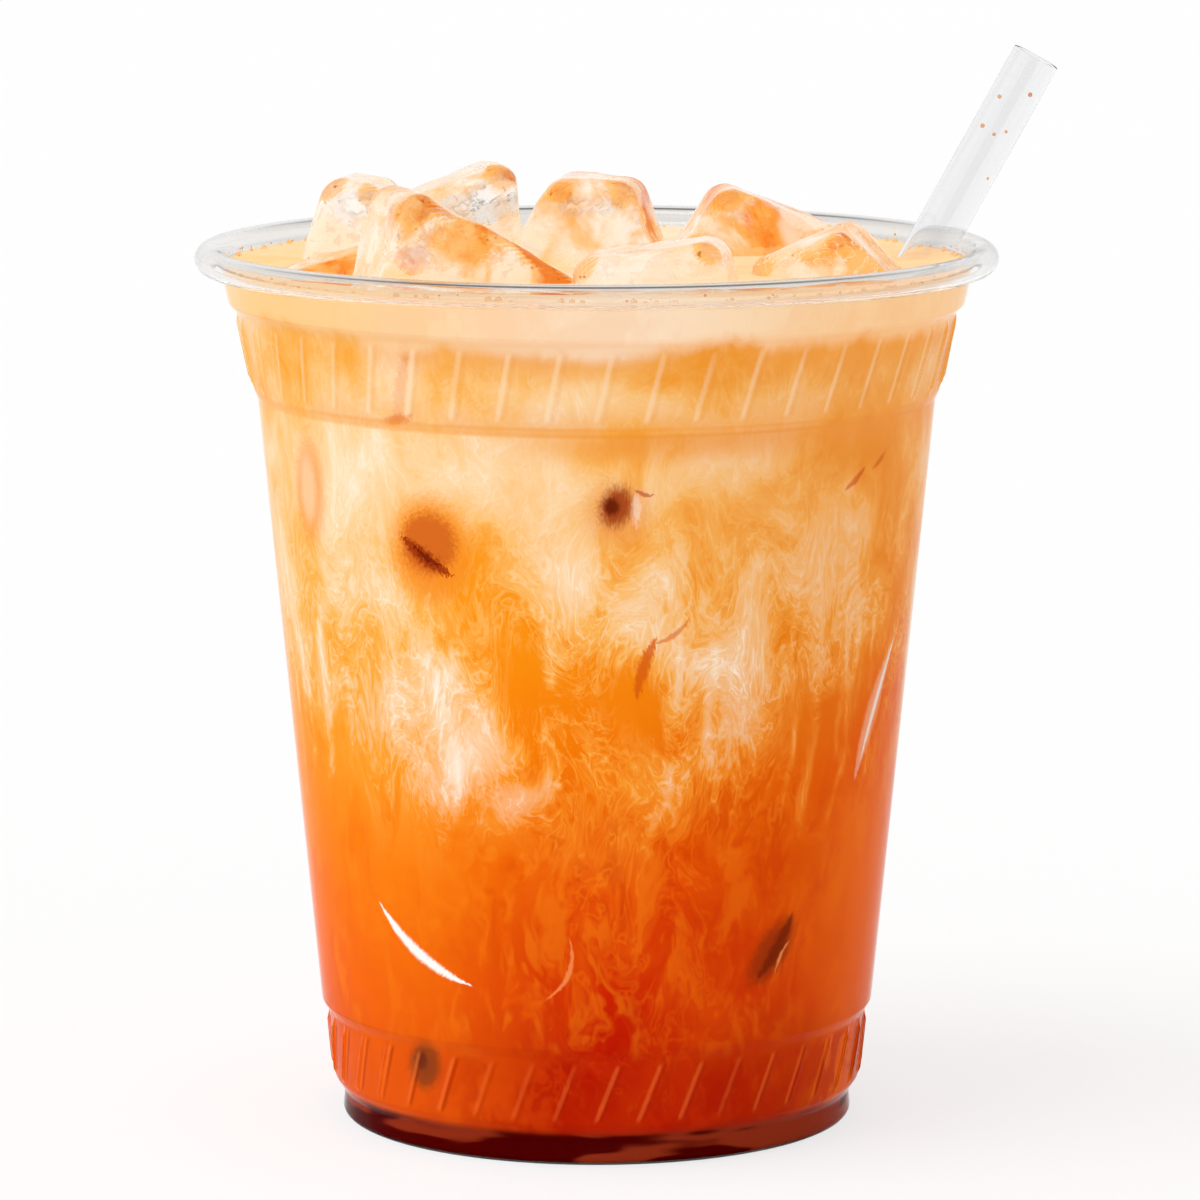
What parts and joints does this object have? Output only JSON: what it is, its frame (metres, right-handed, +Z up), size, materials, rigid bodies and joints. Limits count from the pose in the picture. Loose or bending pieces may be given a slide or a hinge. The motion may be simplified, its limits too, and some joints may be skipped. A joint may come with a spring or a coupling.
{
  "type": "iced milk tea in a plastic cup",
  "caption": "Iced orange milk tea in a clear thermoformed cup with a rolled rim and ribbed grip bands, ice cubes standing out of the top and a clear straw leaning on the rim.",
  "frame": {"origin": "the middle of the cup's foot, on the plane that the cup stands on, which is where the cup's axis meets that plane", "axes": "+Z is up along the cup's axis, -Y is the near side that the ice was laid out from, and the straw leans towards +X and a little towards +Y"},
  "size_m": [0.1059, 0.0982, 0.1315],
  "materials": {
    "cup": "clear PET, thermoformed, glossy",
    "tea": "strong orange-red tea with a little milk in it",
    "milk": "cream and milk marbled with orange tea",
    "straw": "clear polypropylene, glossy",
    "ice": "wet ice with a film of tea on it"
  },
  "bodies": {
    "root": {"cup": "cup", "tea": "tea", "milk": "milk", "straw": "straw", "ice_near_left": "ice", "ice_far_left": "ice", "ice_low_left": "ice", "ice_far_middle": "ice", "ice_middle": "ice", "ice_near_middle": "ice", "ice_far_right": "ice", "ice_near_right": "ice"}
  },
  "joints": []
}
